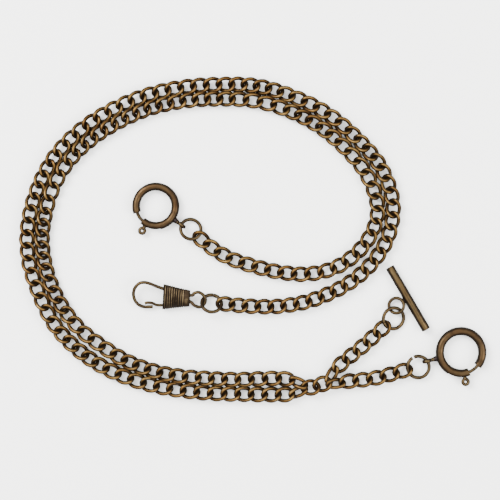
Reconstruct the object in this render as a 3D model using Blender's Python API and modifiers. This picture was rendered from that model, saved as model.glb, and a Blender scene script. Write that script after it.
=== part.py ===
"""Pocket watch chain: a curb chain laid in a double loop, with a T-bar, two spring rings and a snap clip.

Units are metres in the file; lengths below are written in millimetres and multiplied by MM.
+Z is up, the chain lies on z = 0, +X runs to the clasp end and +Y to the top of the loop.
Each body of the linkage has an empty on its joint's axis, and the sub-parts hang from these empties.
"""

import math

import bmesh
import bpy
from mathutils import Matrix, Vector

MM = 0.001

# --- driving dimensions, mm -------------------------------------------------------------------
# curb link
WIRE_R = 0.68  # corner radius of the four-sided wire; the round wire it stands for is 1.25 across
LINK_HALF_WIDTH = 2.2  # centre line of the sides, before the twist
END_HALF = 0.9  # half the flat of a link's end
JUNCTION_WIRE_R = 0.6  # where three links share an end, a thinner wire keeps them apart
JUNCTION_HALF_WIDTH = 2.5
JUNCTION_END_HALF = 1.35
JUNCTION_REACH = 3.1
FIRST_HALF_WIDTH = 1.45  # a link that shares a junction link's end with another
FIRST_END_HALF = 0.55
SHOULDER = 1.15  # from a link's end back to where its sides start
END_TWIST = math.radians(-45)  # a link's far end lies at this angle, its near end at the opposite one
FUSE_GAP = 1.18  # centre distance of two crossing wires inside a run: they bite by 0.18
HINGE_GAP = 1.68  # the same where two runs hinge: 0.32 of clearance
CHAIN_Z = 1.62  # height of the chain's middle plane
# spring rings; angles are degrees round the ring, counted from the middle of its gap
TUBE_WALL = 0.35
GAP_HALF = 14.5
SLOT_R = 0.6
SLOT_END = 67
BOLT_R = 0.45
BOLT_TRAVEL = 32
BOLT_NOSE = 17.5  # how far the closed bolt reaches past the middle of the gap
BOLT_TAIL = 47.5
SPRING_START = 49
SPRING_END = 108
SPRING_R = 0.62
SPRING_WIRE_R = 0.12
SPRING_TURNS = 8
STOP_END = 113
TRIGGER_STEM_R = 0.36
TRIGGER_WIRE_R = 0.48
TRIGGER_AT = 27.5  # where the trigger's stem stands while the gap is closed
EYE_R = 1.33  # centre line
EYE_WIRE_R = 0.38
EYE_THICK = 1.3
EYE_STEM_R = 0.62
RING_SWING = 12  # degrees either way about the eye
RING_Z = 1.75  # height of the spring rings' middle plane
# each ring's centre, its eye, the tube's two radii, its gap, the way its bolt slides, and the
# distance from the centre and the radius of its trigger's loop
LARGE_RING = ((74.9, -40.6), (62.6, -43.75), 7.65, 1.35, 306.1, -1, 10.6, 0.9)
SMALL_RING = ((-35.0, 12.0), (-25.75, 5.2), 6.98, 1.3, 213.5, 1, 10.05, 0.8)
# T-bar
BAR_ENDS = ((49.2, -9.9), (62.4, -32.5))
BAR_R = 1.45
BAR_Z = 1.5
BAR_BEVEL = 0.25
BAR_RING_R = 2.72
BAR_RING_WIRE_R = 0.48
STUB_R = 0.5
BAR_SWING = (-15, 8)
# jump rings: centre, radius of the centre line, roll in degrees and turn either way at the last link
JUMP_WIRE_R = 0.56
T_JUMP_RING = ((50.6, -28.4, 1.5), 3.85, 18, 20)
CLASP_JUMP_RING = ((59.5, -45.9, 1.68), 3.9, 4, 15)
CLIP_JUMP_RING = ((-14.9, -23.0, 2.15), 3.55, 34, 20)
SMALL_JUMP_RING = ((-22.4, 3.7, 1.75), 3.7, 18, 15)
CLASP_OPENING = (118, 5.5)  # the middle of the one ring's open gap, and half the gap's angle
# snap clip
CLIP_WIRE_R = 0.48
CLIP_Z = 2.3
CLIP_ROLL = 13
GATE_R = 0.42
GATE_OPEN = 20
CLIP_SWING = (-8, 15)
SLEEVE_MOUTH = (-32.2, -20.6)
SLEEVE_TIP = (-22.7, -21.2)
SLEEVE_MOUTH_R = 4.1
SLEEVE_END_R = 2.5
SLEEVE_FLATTEN = 0.54
SLEEVE_WALL = 0.45
SLEEVE_RIBS = 9
RIB_PITCH = 0.8
RIB_DEPTH = 0.16
BAND_RISE = 0.12
# what is left between parts that are soldered together on the real object
SOLDER_GAP = 0.15
# the model's own corner, moved so that the whole stands over the origin
SHIFT = (0.164, -0.068, 0.37)

# --- the route of the two long strands, mm ----------------------------------------------------
# a third number is the height above the chain's middle plane
JUNCTION = (20.7, -53.2, 0.6)
SECOND_JUNCTION = (24.9, -52.0, 0.6)
OUTER_ROUTE = [
    (18.45, -53.85, 0.0), (14.2, -55.6, 0.0), (8.0, -56.0, 0.0), (-2.0, -56.0), (-12.0, -55.8),
    (-22.0, -55.1), (-33.0, -53.5), (-44.5, -50.4), (-55.3, -45.5), (-64.8, -38.6), (-72.2, -30.2),
    (-77.6, -19.0), (-81.1, -7.5), (-81.4, 4.6), (-78.2, 17.6), (-71.8, 29.8), (-62.7, 39.3),
    (-51.3, 46.8), (-38.8, 52.1), (-25.4, 55.1), (-12.0, 56.1), (1.4, 55.6), (14.4, 51.8),
    (26.9, 45.6), (37.4, 36.9), (46.2, 26.4), (50.5, 13.6), (48.8, 1.4), (42.6, -8.8),
    (33.4, -16.4), (21.0, -21.9), (9.7, -24.0), (-1.0, -24.0), (-12.2, -23.0),
]
INNER_ROUTE = [
    (18.45, -52.55, 1.2), (14.6, -50.7, 1.0), (10.0, -49.9, 0.3), (4.0, -49.9), (-6.0, -50.1), (-16.0, -49.7),
    (-26.0, -48.9), (-35.0, -47.2), (-45.0, -43.6), (-54.0, -38.2), (-62.3, -31.8),
    (-69.0, -23.0), (-73.6, -12.5), (-75.6, -1.0), (-74.4, 9.4), (-71.2, 19.6), (-65.6, 28.6),
    (-57.6, 36.2), (-47.6, 42.4), (-36.4, 47.1), (-24.4, 49.6), (-12.0, 50.3), (0.4, 49.6),
    (12.0, 46.4), (23.4, 40.6), (33.0, 32.6), (40.6, 23.4), (44.6, 12.6), (43.3, 3.6),
    (37.8, -4.4), (29.8, -10.0), (20.0, -12.4), (10.0, -11.8), (0.0, -9.5), (-8.6, -6.6),
    (-15.4, -2.6), (-20.4, 1.6),
]
# runs whose hinges lie on common lines across both strands: outer links, inner links, and the
# arc length of the outer route at the run's far hinge
SHARED_RUNS = [
    (5, 5, 24.4), (5, 5, 49.0), (5, 5, 73.3), (5, 4, 95.5), (5, 5, 119.5), (5, 5, 142.5),
    (5, 4, 164.5), (5, 5, 188.3), (5, 5, 211.5), (5, 5, 234.7), (5, 4, 257.0), (5, 5, 281.0),
    (5, 4, 303.3), (5, 4, 326.0),
]
TAIL = [5, 5, 5]
T_BRANCH = [
    (27.2, -50.8, 0.0), (29.2, -47.4, 0.0), (32.4, -44.2, 0.0), (39.6, -38.3), (48.2, -30.6),
]
CLASP_BRANCH = [
    (27.25, -51.95, 1.25), (30.5, -51.7, 0.7), (34.6, -51.0), (44.4, -49.8), (56.3, -46.6),
]

HOOK = [
    (-36.1, -24.3), (-39.3, -24.3), (-41.4, -23.4), (-42.6, -21.6), (-43.0, -19.4), (-42.4, -17.3),
    (-41.0, -15.8), (-39.4, -15.3), (-37.1, -15.7), (-32.2, -17.6), (-22.7, -20.0), (-21.2, -19.3),
    (-19.6, -18.9), (-18.0, -19.8), (-17.1, -21.6), (-17.8, -23.6), (-19.4, -24.4), (-21.2, -23.7),
    (-22.7, -22.4), (-26.3, -22.2),
]
CLIP_EYE = (-19.3, -21.6)  # the middle of the loop that the hook's wire makes behind the sleeve
CLIP_HINGE = (-17.75, -22.1)  # where that loop bears on its jump ring
BAR_HINGE = (51.22, -25.55)  # the same for the T-bar's ring
T_RING_CENTRE = (51.6, -23.8)  # the ring soldered to the T-bar
T_RING_Z = 1.6
T_RING_ROLL = -16
GATE_PIVOT = (-30.6, -23.4)
GATE = [
    (-29.9, -23.2), (-30.6, -23.4), (-32.3, -23.65), (-34.6, -23.65), (-36.4, -22.9), (-38.0, -22.8),
    (-38.9, -23.1),
]

COLOURS = {
    "chain": (0.27, 0.19, 0.10, 1.0),
    "clasp": (0.30, 0.21, 0.12, 1.0),
    "spring": (0.35, 0.34, 0.32, 1.0),
}


# --- scene, materials, bodies -----------------------------------------------------------------
def clear_scene():
    for obj in list(bpy.data.objects):
        bpy.data.objects.remove(obj)


def new_collection(name):
    made = bpy.data.collections.new(name)
    bpy.context.scene.collection.children.link(made)
    return made


def metal(name, colour, roughness):
    made = bpy.data.materials.new(name)
    made.use_nodes = True
    shader = made.node_tree.nodes["Principled BSDF"]
    shader.inputs["Base Color"].default_value = colour
    shader.inputs["Metallic"].default_value = 1.0
    shader.inputs["Roughness"].default_value = roughness
    return made


class Body:
    """A rigid body: an empty on its joint's axis, and the sub-parts that hang from it."""

    made = {}

    def __init__(self, name, parent=None, pivot=(0, 0, 0), axis=(0, 0, 1), low=0.0, high=0.0):
        self.name = name
        self.parent = parent
        self.pivot = Vector(pivot)
        self.empty = bpy.data.objects.new("pivot_" + name, None)
        self.empty.empty_display_size = 2 * MM
        MODEL.objects.link(self.empty)
        start = parent.pivot if parent else Vector((0, 0, 0))
        self.empty.parent = parent.empty if parent else None
        self.empty.location = (self.pivot - start) * MM
        self.empty["axis"] = list(Vector(axis).normalized())
        self.empty["range_deg"] = [float(low), float(high)]
        Body.made[name] = self

    def add(self, obj, name, slot):
        """Takes a mesh object made in millimetres at its place, and hangs it from the empty."""
        obj.data.transform(Matrix.Translation(-self.pivot))
        obj.data.transform(Matrix.Scale(MM, 4))
        obj.name = name
        obj.data.name = name
        obj.data.materials.clear()
        obj.data.materials.append(metal(name + "_metal", COLOURS[slot], 0.42))
        obj.parent = self.empty
        for held in list(obj.users_collection):
            held.objects.unlink(obj)
        MODEL.objects.link(obj)
        return obj


# --- mesh helpers, all in millimetres ---------------------------------------------------------
def object_of(mesh, name="piece"):
    made = bpy.data.objects.new(name, mesh)
    CUTTERS.objects.link(made)
    return made


def wire(points, radius, closed=False, resolution=1, caps=True):
    """A round wire through the points, as a closed mesh."""
    data = bpy.data.curves.new("wire", "CURVE")
    data.dimensions = "3D"
    data.bevel_depth = radius
    data.bevel_resolution = resolution
    data.use_fill_caps = caps and not closed
    spline = data.splines.new("POLY")
    spline.points.add(len(points) - 1)
    for slot, place in zip(spline.points, points):
        slot.co = (*place, 1)
    spline.use_cyclic_u = closed
    curve = bpy.data.objects.new("wire", data)
    CUTTERS.objects.link(curve)
    bpy.context.view_layer.update()
    evaluated = curve.evaluated_get(bpy.context.evaluated_depsgraph_get())
    mesh = bpy.data.meshes.new_from_object(evaluated)
    bpy.data.objects.remove(curve)
    bm = bmesh.new()
    bm.from_mesh(mesh)
    bmesh.ops.remove_doubles(bm, verts=bm.verts, dist=0.0005)
    bm.to_mesh(mesh)
    bm.free()
    return object_of(mesh)


def modified(obj, kind, **settings):
    """Applies one modifier and gives back the object with its new mesh."""
    step = obj.modifiers.new(kind.lower(), kind)
    for key, value in settings.items():
        setattr(step, key, value)
    bpy.context.view_layer.update()
    evaluated = obj.evaluated_get(bpy.context.evaluated_depsgraph_get())
    mesh = bpy.data.meshes.new_from_object(evaluated)
    obj.modifiers.clear()
    obj.data = mesh
    return obj


def joined(first, others):
    """One closed solid from solids that overlap."""
    group = bpy.data.collections.new("to_join")
    for other in others:
        CUTTERS.objects.unlink(other)
        group.objects.link(other)
    CUTTERS.children.link(group)
    modified(first, "BOOLEAN", operation="UNION", operand_type="COLLECTION", collection=group)
    for other in others:
        bpy.data.objects.remove(other)
    bpy.data.collections.remove(group)
    return first


def cut(first, cutter):
    modified(first, "BOOLEAN", operation="DIFFERENCE", object=cutter)
    bpy.data.objects.remove(cutter)
    return first


def turned_to(direction):
    """Rotation that takes +X to a direction, keeping +Z as near up as it can be."""
    ahead = Vector(direction).normalized()
    side = Vector((0, 0, 1)).cross(ahead).normalized()
    up = ahead.cross(side)
    return Matrix((ahead, side, up)).transposed().to_4x4()


def framed(centre, direction, roll=0.0):
    """Frame with +X along a direction, rolled about it by an angle in degrees."""
    return (
        Matrix.Translation(Vector(centre))
        @ turned_to(direction)
        @ Matrix.Rotation(math.radians(roll), 4, "X")
    )


# --- routes -----------------------------------------------------------------------------------
class Route:
    """A smooth curve through hand-placed points, read by its arc length."""

    STEPS = 40

    def __init__(self, points):
        knots = [Vector((*p, 0.0)[:3]) for p in points]
        knots.insert(0, 2 * knots[0] - knots[1])
        knots.append(2 * knots[-1] - knots[-2])
        self.places = []
        for k in range(1, len(knots) - 2):
            for step in range(self.STEPS):
                self.places.append(self.between(knots[k - 1 : k + 3], step / self.STEPS))
        self.places.append(knots[-2])
        self.arc = [0.0]
        for a, b in zip(self.places, self.places[1:]):
            self.arc.append(self.arc[-1] + (b - a).length)
        self.length = self.arc[-1]

    @staticmethod
    def between(four, t):
        a, b, c, d = four
        return 0.5 * (
            2 * b + (c - a) * t + (2 * a - 5 * b + 4 * c - d) * t * t + (3 * b - a - 3 * c + d) * t**3
        )

    def at(self, arc):
        """The place at an arc length."""
        arc = min(max(arc, 0.0), self.length)
        low, high = 0, len(self.arc) - 1
        while high - low > 1:
            middle = (low + high) // 2
            if self.arc[middle] <= arc:
                low = middle
            else:
                high = middle
        share = (arc - self.arc[low]) / (self.arc[high] - self.arc[low])
        return self.places[low].lerp(self.places[high], share)

    def heading(self, arc, reach=1.5):
        return (self.at(arc + reach) - self.at(arc - reach)).normalized()

    def level_heading(self, arc):
        ahead = self.heading(arc)
        return Vector((ahead.x, ahead.y, 0.0)).normalized()

    def across(self, place, heading):
        """The arc length where the route meets the line through a place, square to a heading."""
        best = min(
            (
                (abs((p - place).dot(heading)) + 0.2 * (p - place).length, s)
                for p, s in zip(self.places, self.arc)
            ),
        )[1]
        low, high = best - 1.0, best + 1.0
        for _ in range(40):
            middle = (low + high) / 2
            if (self.at(middle) - place).dot(heading) * (self.at(high) - place).dot(heading) <= 0:
                low = middle
            else:
                high = middle
        return (low + high) / 2


# --- curb chain -------------------------------------------------------------------------------
def above_chain(place):
    return Vector((place[0], place[1], CHAIN_Z + place[2]))


def curb_link(centre, direction, back, front, half_width, end_half, wire_r):
    """An oval ring of wire, twisted about its long axis. back and front are its half lengths."""
    sides = 8
    round_r = 3.0
    bpy.ops.mesh.primitive_torus_add(
        major_segments=sides, minor_segments=4, major_radius=round_r, minor_radius=wire_r
    )
    obj = bpy.context.active_object
    for held in list(obj.users_collection):
        held.objects.unlink(obj)
    CUTTERS.objects.link(obj)
    obj.data.transform(Matrix.Rotation(math.pi / sides, 4, "Z"))
    near_end = math.sin(math.radians(45))
    for vertex in obj.data.vertices:
        x, y, z_own = vertex.co
        around = math.atan2(y, x)
        outward = math.hypot(x, y) - round_r
        is_end = abs(math.cos(around)) > near_end
        reach = front if x > 0 else back
        ring_x = math.copysign(reach if is_end else reach - SHOULDER, x)
        ring_y = math.copysign(end_half if is_end else half_width, y)
        along = ring_x + outward * math.cos(around)
        wide = ring_y + outward * math.sin(around)
        twist = END_TWIST * max(-1.0, min(1.0, ring_x / reach))
        vertex.co = (
            along,
            wide * math.cos(twist) - z_own * math.sin(twist),
            wide * math.sin(twist) + z_own * math.cos(twist),
        )
    obj.data.transform(framed(above_chain(centre), direction))
    return obj


def run_of_links(route, start, end, count):
    """Some links of a strand between two arc lengths, fused into one solid."""
    pitch = (end - start) / count
    links = []
    for i in range(count):
        arc = start + (i + 0.5) * pitch
        back = (pitch + (HINGE_GAP if i == 0 else FUSE_GAP)) / 2
        front = (pitch + (HINGE_GAP if i == count - 1 else FUSE_GAP)) / 2
        if start == 0.0 and i == 0:
            sizes = (FIRST_HALF_WIDTH, FIRST_END_HALF, JUNCTION_WIRE_R)
        else:
            sizes = (LINK_HALF_WIDTH, END_HALF, WIRE_R)
        links.append(curb_link(route.at(arc), route.heading(arc), back, front, *sizes))
    return joined(links[0], links[1:]) if len(links) > 1 else links[0]


WAVE = (1, -1, -1, 1)  # signs of the hinge axes, so that equal angles fold a strand into waves
LIFT = 25  # degrees either way at a hinge between two runs
JUNCTION_LIFT = 20
FIRST_LIFT = {"outer": (-12, LIFT), "inner": (-LIFT, 12)}  # the first runs lie side by side
SWING = {"t_branch": (-8, 4), "clasp_branch": (-12, 5)}  # degrees, in the plane of the chain


def hinge_axis(heading, number):
    sign = WAVE[number % 4]
    return (-heading.y * sign, heading.x * sign, 0)


def long_strands(root):
    """Both strands in step: their hinges lie on common lines, up to where they part."""
    outer, inner = Route(OUTER_ROUTE), Route(INNER_ROUTE)
    before = {"outer": root, "inner": root}
    starts = {"outer": 0.0, "inner": 0.0}
    number = 0
    for number, (outer_links, inner_links, far) in enumerate(SHARED_RUNS):
        far_inner = inner.across(outer.at(far), outer.level_heading(far))
        near_heading = outer.level_heading(starts["outer"])
        for strand, route, count, end in (
            ("outer", outer, outer_links, far),
            ("inner", inner, inner_links, far_inner),
        ):
            start = starts[strand]
            before[strand] = strand_run(
                strand, number, route, start, end, count, before[strand], near_heading
            )
            starts[strand] = end
    for strand, route in (("outer", outer), ("inner", inner)):
        step = (route.length - starts[strand]) / sum(TAIL)
        for extra, count in enumerate(TAIL):
            start = starts[strand]
            end = start + step * count
            heading = route.level_heading(start)
            before[strand] = strand_run(
                strand, number + 1 + extra, route, start, end, count, before[strand], heading
            )
            starts[strand] = end
    return before["outer"], before["inner"]


def strand_run(strand, number, route, start, end, count, parent, heading):
    name = f"{strand}_run_{number + 1:02d}"
    place = route.at(start)
    low, high = FIRST_LIFT[strand] if number == 0 else (-LIFT, LIFT)
    made = Body(name, parent, above_chain(place), hinge_axis(heading, number), low, high)
    made.add(run_of_links(route, start, end, count), name, "chain")
    return made


def short_branch(name, parent, points, counts):
    """A short length of links from the second junction link, in runs of a few links."""
    route = Route(points)
    step = route.length / sum(counts)
    arc = 0.0
    for number, count in enumerate(counts):
        place = route.at(arc)
        heading = route.level_heading(arc)
        axis = (0, 0, 1) if number == 0 else hinge_axis(heading, 0)
        reach = SWING[name] if number == 0 else (-LIFT, LIFT)
        body_name = f"{name}_{number + 1}"
        parent = Body(body_name, parent, above_chain(place), axis, *reach)
        parent.add(run_of_links(route, arc, arc + step * count, count), body_name, "chain")
        arc += step * count
    return parent


# --- fittings ---------------------------------------------------------------------------------
def ring_at(centre, direction, roll, radius, wire_r, around=18, sides=6):
    """A closed ring of wire, lying in the plane of a direction and of what is level across it."""
    bpy.ops.mesh.primitive_torus_add(
        major_segments=around, minor_segments=sides, major_radius=radius, minor_radius=wire_r
    )
    obj = bpy.context.active_object
    for held in list(obj.users_collection):
        held.objects.unlink(obj)
    CUTTERS.objects.link(obj)
    obj.data.transform(framed(centre, direction, roll))
    return obj


def on_circle(centre, radius, degrees):
    turn = math.radians(degrees)
    return Vector((*centre, 0)[:3]) + Vector((math.cos(turn), math.sin(turn), 0)) * radius


def arc_wire(centre, radius, start, end, wire_r, segments, resolution=1, caps=True):
    """A round wire along part of a circle that lies flat."""
    steps = [start + (end - start) * i / segments for i in range(segments + 1)]
    points = [on_circle(centre, radius, turn) for turn in steps]
    return wire(points, wire_r, resolution=resolution, caps=caps)


def bisector(first, second):
    return (Vector(first).normalized() + Vector(second).normalized()).normalized()


def jump_ring(name, parent, hinge, onward, sizes, opening=None):
    """A ring of wire through the last link of a branch; onward is where the next fitting lies."""
    centre, radius, roll, reach = sizes
    hinge = above_chain((*hinge, 0.0))
    centre = Vector(centre)
    inward = Vector((centre.x - hinge.x, centre.y - hinge.y, 0)).normalized()
    outward = Vector((onward[0] - centre.x, onward[1] - centre.y, 0)).normalized()
    body = Body(name, parent, hinge, (-inward.y, inward.x, 0), -reach, reach)
    axis = bisector(inward, outward)
    if opening is None:
        obj = ring_at(centre, axis, roll, radius, JUMP_WIRE_R)
    else:
        middle, half = opening
        obj = arc_wire((0, 0, 0), radius, middle + half, middle + 360 - half, JUMP_WIRE_R, 22)
        level = Matrix.Rotation(-math.atan2(axis.y, axis.x), 4, "Z")
        obj.data.transform(framed(centre, axis, roll) @ level)
    body.add(obj, name, "chain")
    return body


def t_bar(parent, hinge):
    """The bar, and the ring soldered to its middle by a short stub."""
    ends = [Vector((*end, BAR_Z)) for end in BAR_ENDS]
    middle = (ends[0] + ends[1]) / 2
    along = (ends[1] - ends[0]).normalized()
    across = Vector((along.y, -along.x, 0))
    if across.dot(Vector((*T_RING_CENTRE, 0)) - middle) < 0:
        across.negate()
    body = Body("t_bar", parent, hinge, (0, 0, 1), *BAR_SWING)
    bpy.ops.mesh.primitive_cylinder_add(vertices=20, radius=BAR_R, depth=(ends[1] - ends[0]).length)
    bar = bpy.context.active_object
    for held in list(bar.users_collection):
        held.objects.unlink(bar)
    CUTTERS.objects.link(bar)
    bar.data.transform(framed(middle, along) @ Matrix.Rotation(math.pi / 2, 4, "Y"))
    modified(bar, "BEVEL", width=BAR_BEVEL, segments=1, limit_method="ANGLE", angle_limit=math.radians(60))
    body.add(bar, "t_bar", "clasp")
    centre = Vector((*T_RING_CENTRE, T_RING_Z))
    outward = (centre - Vector(hinge)).normalized()
    ring = ring_at(centre, Vector((outward.x, outward.y, 0)), T_RING_ROLL, BAR_RING_R, BAR_RING_WIRE_R)
    surface = middle + across * (BAR_R + SOLDER_GAP)
    stub = wire([surface, centre + (surface - centre).normalized() * BAR_RING_R], STUB_R)
    body.add(joined(ring, [stub]), "t_bar_ring", "clasp")
    return body


def spring_ring(size, parent, centre, eye, radius, tube_r, gap_at, side, trigger, trigger_r):
    """A hollow ring with a gap, the bolt that closes it, its spring, its stop and its eye.

    side is +1 where the bolt slides back against the clock's run and -1 where it goes with it;
    trigger is the trigger loop's distance from the ring's centre.
    """
    name = size + "_ring"
    body = Body(name, parent, (*eye, RING_Z), (0, 0, 1), -RING_SWING, RING_SWING)
    middle = (*centre, RING_Z)

    def turn(offset):
        return gap_at + side * offset

    tube = arc_wire(middle, radius, turn(GAP_HALF), turn(360 - GAP_HALF), tube_r, 24, 2, caps=False)
    modified(tube, "SOLIDIFY", thickness=TUBE_WALL, offset=-1)
    slot_at = radius + tube_r - TUBE_WALL / 2
    cutter = arc_wire(middle, slot_at, turn(GAP_HALF - 4), turn(SLOT_END), SLOT_R, 6)
    body.add(cut(tube, cutter), name + "_tube", "clasp")

    outward = (Vector((*eye, RING_Z)) - Vector(middle)).normalized()
    upright = ring_at((0, 0, 0), (1, 0, 0), 90, EYE_R, EYE_WIRE_R, 14, 6)
    upright.data.transform(Matrix.Scale(EYE_THICK / (2 * EYE_WIRE_R), 4, (0, 1, 0)))
    upright.data.transform(framed((*eye, RING_Z), outward))
    foot = Vector(middle) + outward * (radius + tube_r + SOLDER_GAP)
    stem = wire([foot, Vector((*eye, RING_Z)) - outward * EYE_R], EYE_STEM_R)
    body.add(joined(upright, [stem]), name + "_eye", "clasp")

    bolt = Body(size + "_bolt", body, middle, (0, 0, side), 0, BOLT_TRAVEL)
    rod = arc_wire(middle, radius, turn(-BOLT_NOSE), turn(BOLT_TAIL), BOLT_R, 9)
    pull = turn(TRIGGER_AT)
    stem_ends = [on_circle(middle, radius, pull), on_circle(middle, trigger - trigger_r, pull)]
    stem = wire(stem_ends, TRIGGER_STEM_R)
    loop = ring_at(on_circle(middle, trigger, pull), (1, 0, 0), 0, trigger_r, TRIGGER_WIRE_R, 12, 6)
    bolt.add(joined(rod, [stem, loop]), name + "_bolt", "clasp")

    coil = []
    steps = SPRING_TURNS * 6
    for i in range(steps + 1):
        along = turn(SPRING_START + (SPRING_END - SPRING_START) * i / steps)
        wound = 2 * math.pi * i / 6
        place = on_circle(middle, radius + SPRING_R * math.cos(wound), along)
        coil.append(place + Vector((0, 0, SPRING_R * math.sin(wound))))
    body.add(wire(coil, SPRING_WIRE_R, resolution=0), name + "_spring", "spring")
    stop_r = tube_r - TUBE_WALL - SOLDER_GAP
    stop = arc_wire(middle, radius, turn(SPRING_END + 2), turn(STOP_END), stop_r, 1)
    body.add(stop, name + "_stop", "clasp")
    return body


def smooth_wire(points, radius, pieces):
    """A wire along a smooth curve through points that lie at the clip's height."""
    route = Route([(x, y, CLIP_Z) for x, y in points])
    return wire([route.at(route.length * i / pieces) for i in range(pieces + 1)], radius)


def sleeve():
    """A flattened, ribbed cone, open at both ends; its mouth is at the origin, its axis is +X."""
    length = (Vector(SLEEVE_TIP) - Vector(SLEEVE_MOUTH)).length
    slope = (SLEEVE_END_R - SLEEVE_MOUTH_R) / length
    outline = [(0.0, SLEEVE_MOUTH_R)]
    for rib in range(1, SLEEVE_RIBS):
        at = rib * RIB_PITCH
        outline.append((at, SLEEVE_MOUTH_R + slope * at - RIB_DEPTH))
        outline.append((at + RIB_PITCH / 2, SLEEVE_MOUTH_R + slope * (at + RIB_PITCH / 2)))
    band = SLEEVE_RIBS * RIB_PITCH
    outline.append((band, SLEEVE_MOUTH_R + slope * band - RIB_DEPTH))
    outline.append((band + 0.2, SLEEVE_MOUTH_R + slope * band + BAND_RISE))
    outline.append((length, SLEEVE_END_R + BAND_RISE))
    outline.append((length, SLEEVE_END_R - SLEEVE_WALL))
    outline.append((0.0, SLEEVE_MOUTH_R - SLEEVE_WALL))
    bm = bmesh.new()
    loop = [bm.verts.new((x, r, 0)) for x, r in outline]
    for a, b in zip(loop, loop[1:] + loop[:1]):
        bm.edges.new((a, b))
    mesh = bpy.data.meshes.new("sleeve")
    bm.to_mesh(mesh)
    bm.free()
    obj = object_of(mesh)
    modified(
        obj, "SCREW", axis="X", angle=2 * math.pi, steps=20, render_steps=20,
        use_merge_vertices=True, merge_threshold=0.0001, use_normal_flip=True,
    )
    obj.data.transform(Matrix.Scale(SLEEVE_FLATTEN, 4, (0, 0, 1)))
    return obj


def snap_clip(parent, hinge):
    """Hook, sleeve and gate, all rolled a little about the sleeve's axis."""
    mouth = Vector((*SLEEVE_MOUTH, CLIP_Z))
    ahead = (Vector((*SLEEVE_TIP, CLIP_Z)) - mouth).normalized()
    about = Matrix.Translation(mouth)
    roll = about @ Matrix.Rotation(math.radians(CLIP_ROLL), 4, ahead) @ about.inverted()
    body = Body("clip", parent, hinge, (0, 0, 1), *CLIP_SWING)
    hook = smooth_wire(HOOK, CLIP_WIRE_R, 52)
    hook.data.transform(roll)
    body.add(hook, "clip_hook", "clasp")
    made = sleeve()
    made.data.transform(roll @ framed(mouth, ahead))
    body.add(made, "clip_sleeve", "clasp")
    pivot = roll @ Vector((*GATE_PIVOT, CLIP_Z))
    axis = -(roll.to_3x3() @ Vector((0, 0, 1)))
    gate = Body("clip_gate", body, pivot, axis, 0, GATE_OPEN)
    lever = smooth_wire(GATE, GATE_R, 14)
    lever.data.transform(roll)
    gate.add(lever, "clip_gate", "clasp")
    return body


clear_scene()
MODEL = new_collection("pocket_watch_chain")
CUTTERS = new_collection("cutters")


def junction_link(centre, direction, back, front):
    sizes = (JUNCTION_HALF_WIDTH, JUNCTION_END_HALF, JUNCTION_WIRE_R)
    return curb_link(centre, direction, back, front, *sizes)


def build():
    root = Body("root")
    toward = Vector(SECOND_JUNCTION) - Vector(JUNCTION)
    reach = toward.length / 2 + HINGE_GAP / 2
    first = junction_link(JUNCTION, (1.0, 0.0, 0), JUNCTION_REACH, reach)
    root.add(first, "junction_link_1", "chain")
    middle = (Vector(JUNCTION) + Vector(SECOND_JUNCTION)) / 2
    crosswise = (-toward.y, toward.x, 0)
    second = Body("junction_link_2", root, above_chain(middle), crosswise, -JUNCTION_LIFT, JUNCTION_LIFT)
    second.add(
        junction_link(SECOND_JUNCTION, toward, reach, JUNCTION_REACH), "junction_link_2", "chain"
    )
    outer_end, inner_end = long_strands(root)
    t_end = short_branch("t_branch", second, T_BRANCH, (3, 3))
    clasp_end = short_branch("clasp_branch", second, CLASP_BRANCH, (3, 3))

    large_eye, small_eye = LARGE_RING[1], SMALL_RING[1]
    t_ring = jump_ring("t_jump_ring", t_end, T_BRANCH[-1][:2], T_RING_CENTRE, T_JUMP_RING)
    t_bar(t_ring, (*BAR_HINGE, CHAIN_Z))
    clasp_ring = jump_ring(
        "clasp_jump_ring", clasp_end, CLASP_BRANCH[-1][:2], large_eye, CLASP_JUMP_RING, CLASP_OPENING
    )
    spring_ring("large", clasp_ring, *LARGE_RING)
    clip_ring = jump_ring("clip_jump_ring", outer_end, OUTER_ROUTE[-1][:2], CLIP_EYE, CLIP_JUMP_RING)
    snap_clip(clip_ring, (*CLIP_HINGE, CLIP_Z))
    small_ring = jump_ring("small_jump_ring", inner_end, INNER_ROUTE[-1][:2], small_eye, SMALL_JUMP_RING)
    spring_ring("small", small_ring, *SMALL_RING)
    root.empty.location = Vector(SHIFT) * MM


build()
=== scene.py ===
"""A pocket watch chain in aged brass, laid out in a double loop on a pale table.

Two strands of curb links share a long loop and meet at a junction, from where a short branch carries
the bar and another the large spring ring. The strands' free ends carry a snap clip and a small
spring ring. Lengths below are in millimetres and multiplied by MM where an object is made.
"""

import math
import random

import bpy
from mathutils import Matrix, Vector


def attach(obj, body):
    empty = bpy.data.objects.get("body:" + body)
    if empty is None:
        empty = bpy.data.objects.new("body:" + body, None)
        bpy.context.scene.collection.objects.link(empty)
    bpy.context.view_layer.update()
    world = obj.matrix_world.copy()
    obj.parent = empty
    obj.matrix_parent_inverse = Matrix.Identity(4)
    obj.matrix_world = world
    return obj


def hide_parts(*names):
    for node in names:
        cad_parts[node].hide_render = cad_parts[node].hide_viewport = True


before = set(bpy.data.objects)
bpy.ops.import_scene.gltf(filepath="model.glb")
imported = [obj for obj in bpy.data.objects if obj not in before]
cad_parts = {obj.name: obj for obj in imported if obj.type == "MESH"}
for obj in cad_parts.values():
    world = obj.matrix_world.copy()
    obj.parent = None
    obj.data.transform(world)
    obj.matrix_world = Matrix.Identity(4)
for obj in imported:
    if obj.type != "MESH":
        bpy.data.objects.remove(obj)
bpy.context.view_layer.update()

MM = 0.001
CHANCE = random.Random(1887)

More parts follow.
